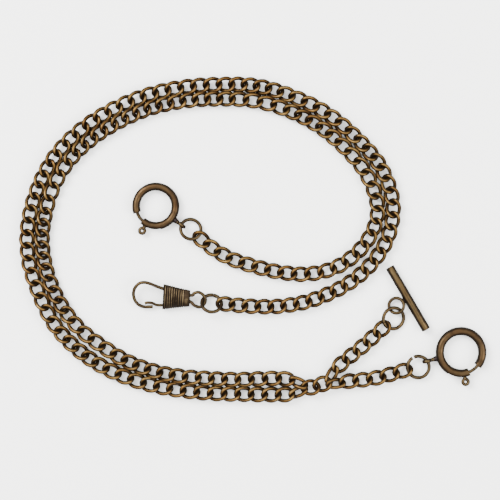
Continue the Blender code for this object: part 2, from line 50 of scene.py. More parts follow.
# --- sizes, mm --------------------------------------------------------------------------------
LINK_LENGTH = 7.6
LINK_WIDTH = 6.3
LINK_WIRE = 1.6
JUNCTION_WIDTH = 6.6
FIRST_WIDTH = 4.6
JUMP_WIRE = 1.32
STRAND_LEAN = 9  # degrees: where the strands lie together, they lean on each other like tiles
LEAN_BUILDS = 24.0  # the length over which that lean comes and goes
STRAND_NEST = 0.33  # how far the leaning strands then close up
LINK_GRIP = 1.85  # how far two linked links overlap, in wire thicknesses
RING_HEIGHT = 1.75  # the spring rings' middle plane above the chain's own ground
TUBE_WALL = 0.35
EYE_RADIUS = 1.33
EYE_WIRE = 0.44
BOLT_WIRE = 0.62
PULL_WIRE = 0.6
COIL_WIRE = 0.12
COIL_RADIUS = 0.62
COIL_TURNS = 20
CLIP_HEIGHT = 2.3
CLIP_ROLL = 13
HOOK_WIRE = 0.62
GATE_WIRE = 0.54
SLEEVE_MOUTH_RADIUS = 4.75
SLEEVE_END_RADIUS = 2.95
SLEEVE_FLATNESS = 0.47  # the pressed cone's thickness as a share of its width
SLEEVE_WALL = 0.3
RIBS = 9
RIB_PITCH = 0.8
BAR_HEIGHT = 1.5
BAR_RADIUS = 1.58
BAR_RING_HEIGHT = 1.6
BAR_RING_RADIUS = 2.72
BAR_RING_WIRE = 0.6
BAR_RING_ROLL = -16
CHAIN_HEIGHT = 1.99  # the chain's middle plane above the table
SHIFT = Vector((0.164, -0.068, 0.37))  # the laid chain's own corner, seen from the table's origin
LINK_TURN = math.radians(-90)  # a curb link is twisted a quarter turn from end to end

# --- the routes of the strands, as the frame has them -----------------------------------------
JUNCTION = (20.7, -53.2, 0.6)
SECOND_JUNCTION = (24.9, -52.0, 0.6)
OUTER_ROUTE = [
    (18.45, -53.85, 0.0), (14.2, -55.6, 0.0), (8.0, -56.0, 0.0), (-2.0, -56.0), (-12.0, -55.8),
    (-22.0, -55.1), (-33.0, -53.5), (-44.5, -50.4), (-55.3, -45.5), (-64.8, -38.6), (-72.2, -30.2),
    (-77.6, -19.0), (-81.1, -7.5), (-81.4, 4.6), (-78.2, 17.6), (-71.8, 29.8), (-62.7, 39.3),
    (-51.3, 46.8), (-38.8, 52.1), (-25.4, 55.1), (-12.0, 56.1), (1.4, 55.6), (14.4, 51.8),
    (26.9, 45.6), (37.4, 36.9), (46.2, 26.4), (50.5, 13.6), (48.8, 1.4), (42.6, -8.8),
    (33.4, -16.4), (21.0, -21.9), (9.7, -24.0), (-1.0, -24.0), (-12.2, -23.0),
]
INNER_ROUTE = [
    (18.45, -52.55, 1.2), (14.6, -50.7, 1.0), (10.0, -49.9, 0.3), (4.0, -49.9), (-6.0, -50.1),
    (-16.0, -49.7), (-26.0, -48.9), (-35.0, -47.2), (-45.0, -43.6), (-54.0, -38.2), (-62.3, -31.8),
    (-69.0, -23.0), (-73.6, -12.5), (-75.6, -1.0), (-74.4, 9.4), (-71.2, 19.6), (-65.6, 28.6),
    (-57.6, 36.2), (-47.6, 42.4), (-36.4, 47.1), (-24.4, 49.6), (-12.0, 50.3), (0.4, 49.6),
    (12.0, 46.4), (23.4, 40.6), (33.0, 32.6), (40.6, 23.4), (44.6, 12.6), (43.3, 3.6),
    (37.8, -4.4), (29.8, -10.0), (20.0, -12.4), (10.0, -11.8), (0.0, -9.5), (-8.6, -6.6),
    (-15.4, -2.6), (-20.4, 1.6),
]
SHARED_RUNS = [
    (5, 5, 24.4), (5, 5, 49.0), (5, 5, 73.3), (5, 4, 95.5), (5, 5, 119.5), (5, 5, 142.5),
    (5, 4, 164.5), (5, 5, 188.3), (5, 5, 211.5), (5, 5, 234.7), (5, 4, 257.0), (5, 5, 281.0),
    (5, 4, 303.3), (5, 4, 326.0),
]
TAIL = [5, 5, 5]
T_BRANCH = [(27.2, -50.8, 0.0), (29.2, -47.4, 0.0), (32.4, -44.2, 0.0), (39.6, -38.3), (48.2, -30.6)]
CLASP_BRANCH = [(27.25, -51.95, 1.25), (30.5, -51.7, 0.7), (34.6, -51.0), (44.4, -49.8), (56.3, -46.6)]
HOOK = [
    (-36.1, -24.3), (-39.3, -24.3), (-41.4, -23.4), (-42.6, -21.6), (-43.0, -19.4), (-42.4, -17.3),
    (-41.0, -15.8), (-39.4, -15.3), (-37.1, -15.7), (-32.2, -17.6), (-22.7, -20.0), (-21.2, -19.3),
    (-19.6, -18.9), (-18.0, -19.8), (-17.1, -21.6), (-17.8, -23.6), (-19.4, -24.4), (-21.2, -23.7),
    (-22.7, -22.4), (-26.3, -22.2),
]
GATE = [
    (-29.9, -23.2), (-30.6, -23.4), (-32.3, -23.65), (-34.6, -23.65), (-36.4, -22.9), (-38.0, -22.8),
    (-38.9, -23.1),
]
SLEEVE_MOUTH = (-32.2, -20.6)
SLEEVE_TIP = (-22.7, -21.2)
BAR_ENDS = ((49.2, -9.9), (62.4, -32.5))
T_RING_CENTRE = (51.6, -23.8)
BAR_HINGE = (51.22, -25.55)
LARGE_EYE = (62.6, -43.75)
SMALL_EYE = (-25.75, 5.2)
CLIP_EYE = (-19.3, -21.6)
TRIGGER_AT = 27.5  # where a spring ring's pull stands, in degrees from its gap


# --- hands ------------------------------------------------------------------------------------
def deselect():
    if bpy.context.object and bpy.context.object.mode != "OBJECT":
        bpy.ops.object.mode_set(mode="OBJECT")
    bpy.ops.object.select_all(action="DESELECT")


def take(obj):
    deselect()
    obj.select_set(True)
    bpy.context.view_layer.objects.active = obj


def pick(obj, test, kind="FACE"):
    """Goes into edit mode with only those faces or vertices selected that pass a test on their place."""
    take(obj)
    mesh = obj.data
    for group in (mesh.vertices, mesh.edges, mesh.polygons):
        group.foreach_set("select", [False] * len(group))
    if kind == "FACE":
        for face in mesh.polygons:
            face.select = test(face.center)
    else:
        for vertex in mesh.vertices:
            vertex.select = test(vertex.co)
    bpy.context.tool_settings.mesh_select_mode = (kind == "VERT", False, kind == "FACE")
    bpy.ops.object.mode_set(mode="EDIT")


def done():
    bpy.ops.object.mode_set(mode="OBJECT")


def apply_modifier(obj, kind, **settings):
    step = obj.modifiers.new(kind.lower(), kind)
    for key, value in settings.items():
        setattr(step, key, value)
    take(obj)
    bpy.ops.object.modifier_apply(modifier=step.name)


def put(obj, matrix):
    """Sets an object down at its place, and keeps the place in its mesh."""
    obj.matrix_world = matrix
    take(obj)
    bpy.ops.object.transform_apply(location=True, rotation=True, scale=True)


def join(objects):
    deselect()
    for obj in objects:
        obj.select_set(True)
    bpy.context.view_layer.objects.active = objects[0]
    bpy.ops.object.join()
    return objects[0]


def outward_faces(obj):
    take(obj)
    bpy.ops.object.mode_set(mode="EDIT")
    bpy.ops.mesh.select_all(action="SELECT")
    bpy.ops.mesh.remove_doubles(threshold=0.000001)
    bpy.ops.mesh.normals_make_consistent(inside=False)
    done()


def copy_of(obj):
    made = obj.copy()
    made.data = obj.data.copy()
    bpy.context.scene.collection.objects.link(made)
    return made


def finish_piece(obj, name, body, material, nodes, smooth=35, levels=0):
    """Names a piece, gives it its finish, its body and the solids it stands for."""
    obj.name = name
    obj.data.name = name
    take(obj)
    bpy.ops.object.shade_smooth_by_angle(angle=math.radians(smooth))
    if levels:
        apply_modifier(obj, "SUBSURF", levels=levels, render_levels=levels)
    obj.data.materials.clear()
    obj.data.materials.append(material)
    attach(obj, body)
    if nodes:
        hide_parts(*nodes)
    return obj


# --- finishes ---------------------------------------------------------------------------------
def linear(hex_colour):
    """An sRGB hex colour as linear red, green, blue and alpha."""
    values = [int(hex_colour[i : i + 2], 16) / 255 for i in (1, 3, 5)]
    return [v / 12.92 if v <= 0.04045 else ((v + 0.055) / 1.055) ** 2.4 for v in values] + [1.0]


def node(tree, kind, inputs=None, **settings):
    """Adds a node: settings are its properties, inputs its sockets' values or the outputs they take."""
    made = tree.nodes.new(kind)
    for key, value in settings.items():
        setattr(made, key, value)
    for key, value in (inputs or {}).items():
        if isinstance(value, bpy.types.NodeSocket):
            tree.links.new(value, made.inputs[key])
        else:
            made.inputs[key].default_value = value
    return made


def new_material(name):
    made = bpy.data.materials.new(name)
    made.use_nodes = True
    return made, made.node_tree, made.node_tree.nodes["Principled BSDF"]


def aged_brass(
    name, rubbed_and_highlight_hex, body_hex, dark_hex, tint_hex, recesses=False, streaks=None,
    reach=1.6, hold=1.3, rubbed_and_highlit_from=0.6, mottle=4.0,
):
    """Brass given a dark bronze patina and then rubbed: the tops come up tan as rubbed wear and painted
    highlight, the sides stay brown as patina and painted shade.

    recesses: whether the mesh says in an attribute where patina and painted shade gather.
    reach: how near a neighbour darkens a surface with patina and painted shade, in mm; hold: how much of
    that darkening stays there.
    streaks: the direction that a rod was drawn in, and how far its fine grain is stretched along it.
    mottle: how fine the blotches break up.
    rubbed_and_highlit_from: how far a face may tilt and still be rubbed and carry the painted highlight,
    as its normal's share of upright.
    """
    made, tree, shader = new_material(name)
    place = node(tree, "ShaderNodeTexCoord")
    facing = node(tree, "ShaderNodeSeparateXYZ", {0: place.outputs["Normal"]})
    up = node(tree, "ShaderNodeMath", {0: facing.outputs["Z"]}, operation="ABSOLUTE")
    # the rubbed top of the wire, partly a painted highlight: full where the wire faces straight up or
    # down
    rubbed_and_highlit_top = node(
        tree, "ShaderNodeMapRange",
        {"Value": up.outputs[0], "From Min": rubbed_and_highlit_from, "From Max": 1.0, "To Min": 0.0, "To Max": 1.0},
        interpolation_type="SMOOTHSTEP",
    )
    # blotches of the wash, 2 to 3 mm across
    blotch = node(
        tree, "ShaderNodeTexNoise",
        {"Vector": place.outputs["Object"], "Scale": 380.0, "Detail": mottle, "Roughness": 0.6},
    )
    # tumbling marks, about 0.2 mm, finer than the eye parts at arm's length
    grain_place = place.outputs["Object"]
    grain_scale, grain_share, set_back = 4200.0, 0.5, 0.35
    if streaks:
        turn, stretch = streaks
        grain_scale, grain_share, set_back = 1300.0, 1.6, 0.9
        grain_place = node(
            tree, "ShaderNodeMapping",
            {"Vector": grain_place, "Rotation": (0.0, 0.0, turn), "Scale": (stretch, 1.0, 1.0)},
            vector_type="TEXTURE",
        ).outputs[0]
    grain = node(
        tree, "ShaderNodeTexNoise",
        {"Vector": grain_place, "Scale": grain_scale, "Detail": 3.0, "Roughness": 0.7},
    )
    wear = node(
        tree, "ShaderNodeMath",
        {0: blotch.outputs["Fac"], 1: 1.3, 2: -0.65},
        operation="MULTIPLY_ADD",
    )
    wear = node(
        tree, "ShaderNodeMath",
        {0: grain.outputs["Fac"], 1: grain_share, 2: wear.outputs[0]},
        operation="MULTIPLY_ADD",
    )
    level = node(
        tree, "ShaderNodeMath", {0: rubbed_and_highlit_top.outputs[0], 1: wear.outputs[0]}, operation="ADD"
    )
    level = node(tree, "ShaderNodeMath", {0: level.outputs[0], 1: set_back}, operation="SUBTRACT")
    # where a rubbing cloth can't reach, and where shade falls: corners narrower than about a millimetre
    # are darkened, patina and painted shade together
    corner_patina_and_shade = node(
        tree, "ShaderNodeAmbientOcclusion", {"Distance": reach * MM}, samples=8, only_local=True
    )
    level = node(
        tree, "ShaderNodeMath", {0: corner_patina_and_shade.outputs["AO"], 1: hold, 2: level.outputs[0]},
        operation="MULTIPLY_ADD",
    )
    level = node(tree, "ShaderNodeMath", {0: level.outputs[0], 1: hold}, operation="SUBTRACT")
    # darker again where the recess attribute says: patina, and painted shade on the links' insides and
    # where they cross
    if recesses:
        patina_and_shade_held = node(tree, "ShaderNodeAttribute", attribute_name="recess")
        level = node(
            tree, "ShaderNodeMath", {0: patina_and_shade_held.outputs["Fac"], 1: -0.6, 2: level.outputs[0]},
            operation="MULTIPLY_ADD",
        )
    # the ramp turns the level into colour: rubbed wear, patina and random tone, with a painted highlight
    # on the tops and painted shade on the sides and in corners
    ramp = node(tree, "ShaderNodeValToRGB", {"Fac": level.outputs[0]})
    stops = ramp.color_ramp.elements
    stops[0].position = 0.0
    stops[0].color = linear(dark_hex)
    stops[1].position = 1.0
    stops[1].color = linear(rubbed_and_highlight_hex)
    middle = stops.new(0.45)
    middle.color = linear(body_hex)
    # a faint cast where the wash has turned, 8 mm and wider
    cast = node(
        tree, "ShaderNodeTexNoise",
        {"Vector": place.outputs["Object"], "Scale": 110.0, "Detail": 2.0, "Roughness": 0.5},
    )
    share = node(
        tree, "ShaderNodeMapRange",
        {"Value": cast.outputs["Fac"], "From Min": 0.45, "From Max": 0.7, "To Min": 0.0, "To Max": 0.4},
    )
    tinted = node(
        tree, "ShaderNodeMix",
        {0: share.outputs[0], 6: ramp.outputs["Color"], 7: linear(tint_hex)},
        data_type="RGBA", blend_type="MULTIPLY",
    )
    tree.links.new(tinted.outputs[2], shader.inputs["Base Color"])
    rough = node(
        tree, "ShaderNodeMapRange",
        {"Value": level.outputs[0], "From Min": 0.0, "From Max": 1.0, "To Min": 0.7, "To Max": 0.36},
    )
    tree.links.new(rough.outputs[0], shader.inputs["Roughness"])
    # the wash itself is an oxide, so it isn't metallic; the bare brass is
    bare = node(
        tree, "ShaderNodeMapRange",
        {"Value": level.outputs[0], "From Min": 0.0, "From Max": 0.5, "To Min": 0.25, "To Max": 1.0},
    )
    tree.links.new(bare.outputs[0], shader.inputs["Metallic"])
    # tarnish keeps a turned-away edge from flashing white
    shader.inputs["Specular Tint"].default_value = linear("#6E5B42")
    bump = node(
        tree, "ShaderNodeBump",
        {"Strength": 0.25, "Distance": 0.00004, "Height": grain.outputs["Fac"]},
    )
    tree.links.new(bump.outputs[0], shader.inputs["Normal"])
    return made


BAR_TURN = math.atan2(BAR_ENDS[1][1] - BAR_ENDS[0][1], BAR_ENDS[1][0] - BAR_ENDS[0][0])
# gives the links a tan back, rubbed wear with a painted highlight, brown sides that are partly painted
# shade, and near-black insides where they cross, patina with painted shade
CHAIN_BRASS = aged_brass(
    "antiqued_brass_wire", "#5F4A28", "#382816", "#0F0904", "#E0B4A0", recesses=True
)
# gives the thin wires a dull, darker brown than the chain's, with little sparkle
RING_BRASS = aged_brass(
    "antiqued_brass_jump_ring", "#3F3423", "#221A12", "#0C0704", "#D8BEA8", mottle=1.0
)
# gives the rolled tubes a chocolate brown with a soft, reddish light along the top
CLASP_BRASS = aged_brass(
    "antiqued_brass_tube", "#3C2F1F", "#1F1710", "#0C0805", "#D8B0A0", reach=2.5, hold=1.1
)
# gives the rod long tan streaks over dark flanks; the tan top is rubbed wear and a painted highlight,
# the flanks partly patina and partly painted shade
BAR_BRASS = aged_brass(
    "antiqued_brass_rod", "#473A26", "#1B1510", "#0C0805", "#D8B8A4", streaks=(BAR_TURN, 18.0)
)
# gives the pressed sleeve pale rib tops between black grooves, the grooves blackened by patina and by
# painted shade
CLIP_BRASS = aged_brass(
    "antiqued_brass_stamping", "#695A42", "#2B2219", "#0C0806", "#CFCBC6",
    recesses=True, reach=0.6, hold=0.5, rubbed_and_highlit_from=0.15,
)
# gives the drops at the joints a cold, almost black skin
SOLDER = aged_brass("oxidised_tin_solder", "#221C1C", "#141010", "#0A0808", "#CFC8D8")


def spring_steel():
    """Drawn spring wire, dull grey: only a glint of it shows through a slot."""
    made, tree, shader = new_material("drawn_spring_steel")
    place = node(tree, "ShaderNodeTexCoord")
    grain = node(
        tree, "ShaderNodeTexNoise",
        {"Vector": place.outputs["Object"], "Scale": 5000.0, "Detail": 2.0, "Roughness": 0.6},
    )
    ramp = node(tree, "ShaderNodeValToRGB", {"Fac": grain.outputs["Fac"]})
    ramp.color_ramp.elements[0].color = linear("#6B6862")
    ramp.color_ramp.elements[1].color = linear("#97938B")
    tree.links.new(ramp.outputs["Color"], shader.inputs["Base Color"])
    shader.inputs["Metallic"].default_value = 1.0
    shader.inputs["Roughness"].default_value = 0.4
    return made


SPRING_STEEL = spring_steel()


# --- places -----------------------------------------------------------------------------------
def turned_to(direction):
    ahead = Vector(direction).normalized()
    side = Vector((0, 0, 1)).cross(ahead).normalized()
    up = ahead.cross(side)
    return Matrix((ahead, side, up)).transposed().to_4x4()


def framed(centre, direction, roll=0.0):
    """A place in millimetres as a matrix in metres: +X along a direction, rolled about it in degrees."""
    return (
        Matrix.Translation((Vector(centre) + SHIFT) * MM)
        @ turned_to(direction)
        @ Matrix.Rotation(math.radians(roll), 4, "X")
    )


def above_chain(place):
    return Vector((place[0], place[1], CHAIN_HEIGHT - SHIFT.z + place[2]))


class Route:
    """A smooth curve through given points, read by its arc length."""

    STEPS = 40

    def __init__(self, points):
        knots = [Vector((*p, 0.0)[:3]) for p in points]
        knots.insert(0, 2 * knots[0] - knots[1])
        knots.append(2 * knots[-1] - knots[-2])
        self.places = []
        for k in range(1, len(knots) - 2):
            for step in range(self.STEPS):
                self.places.append(self.between(knots[k - 1 : k + 3], step / self.STEPS))
        self.places.append(knots[-2])
        self.arc = [0.0]
        for a, b in zip(self.places, self.places[1:]):
            self.arc.append(self.arc[-1] + (b - a).length)
        self.length = self.arc[-1]

    @staticmethod
    def between(four, t):
        a, b, c, d = four
        return 0.5 * (
            2 * b + (c - a) * t + (2 * a - 5 * b + 4 * c - d) * t * t + (3 * b - a - 3 * c + d) * t**3
        )

    def at(self, arc):
        arc = min(max(arc, 0.0), self.length)
        low, high = 0, len(self.arc) - 1
        while high - low > 1:
            middle = (low + high) // 2
            if self.arc[middle] <= arc:
                low = middle
            else:
                high = middle
        share = (arc - self.arc[low]) / (self.arc[high] - self.arc[low])
        return self.places[low].lerp(self.places[high], share)

    def heading(self, arc, reach=1.5):
        return (self.at(arc + reach) - self.at(arc - reach)).normalized()

    def level_heading(self, arc):
        ahead = self.heading(arc)
        return Vector((ahead.x, ahead.y, 0.0)).normalized()

    def across(self, place, heading):
        """The arc length where the route meets the line through a place, square to a heading."""
        best = min(
            (abs((p - place).dot(heading)) + 0.2 * (p - place).length, s)
            for p, s in zip(self.places, self.arc)
        )[1]
        low, high = best - 1.0, best + 1.0
        for _ in range(40):
            middle = (low + high) / 2
            if (self.at(middle) - place).dot(heading) * (self.at(high) - place).dot(heading) <= 0:
                low = middle
            else:
                high = middle
        return (low + high) / 2


# --- curb links -------------------------------------------------------------------------------
WIRE_SHRINK = 0.833  # how much of a six-sided wire's radius is left once it is rounded
TURN_SHRINK = 0.955  # the same for the twelve-sided ring


def curb_link(length, width, wire=LINK_WIRE):
    """A round-wire ring, drawn out to an oval and then twisted a quarter turn."""
    deselect()
    bpy.ops.mesh.primitive_torus_add(
        major_segments=12,
        minor_segments=6,
        major_radius=(width - wire) / 2 / TURN_SHRINK * MM,
        minor_radius=wire / 2 / WIRE_SHRINK * MM,
    )
    link = bpy.context.active_object
    mark_recesses(link, (width - wire) / 2 * MM)
    for side in (1, -1):
        pick(link, lambda co: co.x * side > 0.0002, "VERT")
        bpy.ops.transform.translate(value=(side * (length - width) / 2 * MM, 0, 0))
        done()
    apply_modifier(
        link, "SIMPLE_DEFORM", deform_method="TWIST", deform_axis="X",
        angle=LINK_TURN * length / (length - wire),
    )
    return link


def mark_recesses(ring, radius):
    """Notes where patina and painted shade darken the link: on the ring's inside, and most in its two
    ends.
    """
    note = ring.data.attributes.new("recess", "FLOAT", "POINT")
    for vertex, value in zip(ring.data.vertices, note.data):
        out = math.hypot(vertex.co.x, vertex.co.y)
        inside = max(0.0, (radius - out) / (LINK_WIRE / 2 * MM))
        end = abs(vertex.co.x) / out
        value.value = min(1.0, inside * (0.45 + 0.55 * end))


def chain_run(name, body, route, start, end, count, first=None, lean=None):
    """The links of one run, each a copy of the same link, a little out of true with the next.

    lean: what share of the strand's lean there is at an arc length; its sign says to which side.
    """
    pitch = (end - start) / count
    length = max(LINK_LENGTH, pitch + LINK_GRIP * LINK_WIRE)
    template = curb_link(length, LINK_WIDTH)
    links = []
    for i in range(count):
        arc = start + (i + 0.5) * pitch
        if first and i == 0:
            link = curb_link(length, first)
        else:
            link = copy_of(template)
        share = lean(arc) if lean else 0.0
        roll = abs(share) * STRAND_LEAN + CHANCE.uniform(-3.5, 3.5)
        yaw = Matrix.Rotation(math.radians(CHANCE.uniform(-2.5, 2.5)), 4, "Z")
        ahead = route.heading(arc)
        aside = Vector((-ahead.y, ahead.x, 0.0)) * share * STRAND_NEST
        put(link, framed(above_chain(route.at(arc)) + aside, ahead, roll) @ yaw)
        links.append(link)
    bpy.data.objects.remove(template)
    run = join(links)
    return finish_piece(run, name, body, CHAIN_BRASS, [body], smooth=180, levels=2)


def single_link(name, body, centre, direction, length, width):
    link = curb_link(length, width)
    put(link, framed(above_chain(centre), direction))
    return finish_piece(link, name, body, CHAIN_BRASS, [body], smooth=180, levels=2)


def lay_long_strands():
    outer, inner = Route(OUTER_ROUTE), Route(INNER_ROUTE)
    far_outer = SHARED_RUNS[-1][2]
    far_inner = inner.across(outer.at(far_outer), outer.level_heading(far_outer))
    starts = {"outer": 0.0, "inner": 0.0}

    def lean_of(shared, side):
        return lambda arc: side * max(0.0, min(1.0, arc / LEAN_BUILDS, (shared - arc) / LEAN_BUILDS))

    leans = {"outer": lean_of(far_outer, -1), "inner": lean_of(far_inner, 1)}
    for number, (outer_links, inner_links, far) in enumerate(SHARED_RUNS, 1):
        far_inner = inner.across(outer.at(far), outer.level_heading(far))
        for strand, route, count, end in (
            ("outer", outer, outer_links, far),
            ("inner", inner, inner_links, far_inner),
        ):
            first = FIRST_WIDTH if number == 1 else None
            body = f"{strand}_run_{number:02d}"
            chain_run("curb_" + body, body, route, starts[strand], end, count, first, leans[strand])
            starts[strand] = end
    for strand, route in (("outer", outer), ("inner", inner)):
        step = (route.length - starts[strand]) / sum(TAIL)
        for extra, count in enumerate(TAIL, 1):
            body = f"{strand}_run_{len(SHARED_RUNS) + extra:02d}"
            end = starts[strand] + step * count
            chain_run("curb_" + body, body, route, starts[strand], end, count)
            starts[strand] = end


def lay_short_branch(name, points):
    route = Route(points)
    half = route.length / 2
    for number in (1, 2):
        body = f"{name}_{number}"
        first = FIRST_WIDTH if number == 1 else None
        chain_run("curb_" + body, body, route, half * (number - 1), half * number, 3, first)


def lay_junction():
    toward = Vector(SECOND_JUNCTION) - Vector(JUNCTION)
    back, front = 3.1, toward.length / 2 + 0.84
    for name, centre, direction, shift in (
        ("junction_link_1", JUNCTION, Vector((1, 0, 0)), (front - back) / 2),
        ("junction_link_2", SECOND_JUNCTION, toward.normalized(), (back - front) / 2),
    ):
        middle = Vector(centre) + direction * shift
        single_link("curb_" + name, name, middle, direction, back + front + LINK_WIRE, JUNCTION_WIDTH)


lay_junction()
lay_long_strands()
lay_short_branch("t_branch", T_BRANCH)
lay_short_branch("clasp_branch", CLASP_BRANCH)


# --- fittings ---------------------------------------------------------------------------------
def spun_wire(radius, wire_r, degrees, steps, sides=12, filled=True):
    """A round wire bent to part of a circle in the table's plane, counted from +X."""
    deselect()
    bpy.ops.mesh.primitive_circle_add(
        vertices=sides,
        radius=wire_r * MM,
        fill_type="NGON" if filled else "NOTHING",
        location=(radius * MM, 0, 0),
        rotation=(math.pi / 2, 0, 0),
    )
    obj = bpy.context.active_object
    take(obj)
    bpy.ops.object.transform_apply(location=True, rotation=True, scale=True)
    bpy.ops.object.mode_set(mode="EDIT")
    bpy.ops.mesh.select_all(action="SELECT")
    bpy.ops.mesh.spin(steps=steps, angle=-math.radians(degrees), center=(0, 0, 0), axis=(0, 0, 1))
    done()
    outward_faces(obj)
    return obj


def flat_turn(degrees):
    return Matrix.Rotation(math.radians(degrees), 4, "Z")


def at_height(place, height):
    return Matrix.Translation((Vector((*place[:2], height)) + SHIFT) * MM)


def bisector(first, second):
    return (Vector(first).normalized() + Vector(second).normalized()).normalized()


def jump_ring(body, hinge, centre, onward, radius, roll, opening):
    """A bent wire ring; opening is where its ends meet or stand apart, and half that gap's angle."""
    centre = Vector(centre)
    inward = Vector((centre.x - hinge[0], centre.y - hinge[1], 0))
    outward = Vector((onward[0] - centre.x, onward[1] - centre.y, 0))
    axis = bisector(inward, outward)
    middle, half = opening
    ring = spun_wire(radius, JUMP_WIRE / 2, 360 - 2 * half, 56)
    level = math.degrees(math.atan2(axis.y, axis.x))
    put(ring, framed(centre, axis, roll) @ flat_turn(middle + half - level))
    soften(ring, 0.12)
    finish_piece(ring, "wire_" + body, body, RING_BRASS, [body])


def soften(obj, width, segments=2, angle=50):
    """Breaks the sharp edges of a piece."""
    apply_modifier(
        obj, "BEVEL", width=width * MM, segments=segments,
        limit_method="ANGLE", angle_limit=math.radians(angle),
    )


def straight_wire(start, end, start_r, end_r, sides=14):
    """A short stem between two places in mm, as thick at its ends as they ask."""
    start, end = Vector(start), Vector(end)
    deselect()
    bpy.ops.mesh.primitive_cone_add(
        vertices=sides, radius1=start_r * MM, radius2=end_r * MM, depth=(end - start).length * MM
    )
    obj = bpy.context.active_object
    put(obj, framed((start + end) / 2, end - start) @ Matrix.Rotation(math.pi / 2, 4, "Y"))
    return obj


def solder_joint(name, body, start, end, start_r, waist_r, end_r):
    """A blob of solder that has drawn up between two pieces, so that its waist is hollow."""
    start, end = Vector(start), Vector(end)
    half = (end - start).length / 2 * MM
    deselect()
    bpy.ops.mesh.primitive_cone_add(
        vertices=10, radius1=start_r * MM, radius2=end_r * MM, depth=2 * half
    )
    blob = bpy.context.active_object
    for share in (-0.8, 0.0, 0.8):
        pick(blob, lambda at: True)
        bpy.ops.mesh.bisect(plane_co=(0, 0, share * half), plane_no=(0, 0, 1))
        done()
    waist = 2 * waist_r / (start_r + end_r)
    pick(blob, lambda co: abs(co.z) < half * 0.1, "VERT")
    bpy.ops.transform.resize(value=(waist, waist, 1), center_override=(0, 0, 0))
    done()
    put(blob, framed((start + end) / 2, end - start) @ Matrix.Rotation(math.pi / 2, 4, "Y"))
    finish_piece(blob, name, body, SOLDER, [], smooth=180, levels=2)


def lay_t_bar():
    """A drawn rod with dished ends, and the ring that is soldered to its middle."""
    ends = [Vector((*end, BAR_HEIGHT)) for end in BAR_ENDS]
    middle = (ends[0] + ends[1]) / 2
    along = (ends[1] - ends[0]).normalized()
    half = (ends[1] - ends[0]).length / 2 * MM
    deselect()
    bpy.ops.mesh.primitive_cylinder_add(vertices=40, radius=BAR_RADIUS * MM, depth=2 * half)
    bar = bpy.context.active_object
    pick(bar, lambda at: abs(at.z) > half * 0.99)
    bpy.ops.mesh.inset(thickness=0.42 * MM)
    bpy.ops.transform.resize(value=(1, 1, 1 - 0.12 * MM / half))
    done()
    soften(bar, 0.16, 3)
    put(bar, framed(middle, along) @ Matrix.Rotation(math.pi / 2, 4, "Y"))
    finish_piece(bar, "drawn_t_bar", "t_bar", BAR_BRASS, ["t_bar"])

    centre = Vector((*T_RING_CENTRE, BAR_RING_HEIGHT))
    outward = Vector((centre.x - BAR_HINGE[0], centre.y - BAR_HINGE[1], 0)).normalized()
    ring = spun_wire(BAR_RING_RADIUS, BAR_RING_WIRE, 359, 48)
    put(ring, framed(centre, outward, BAR_RING_ROLL))
    finish_piece(ring, "soldered_bar_ring", "t_bar", RING_BRASS, ["t_bar_ring"])
    toward = Vector((along.y, -along.x, 0))
    if toward.dot(centre - middle) < 0:
        toward.negate()
    surface = middle + toward * (BAR_RADIUS - 0.1)
    foot = centre + (surface - centre).normalized() * 2.3
    solder_joint("bar_ring_solder", "t_bar", foot, surface, 1.0, 0.9, 1.25)


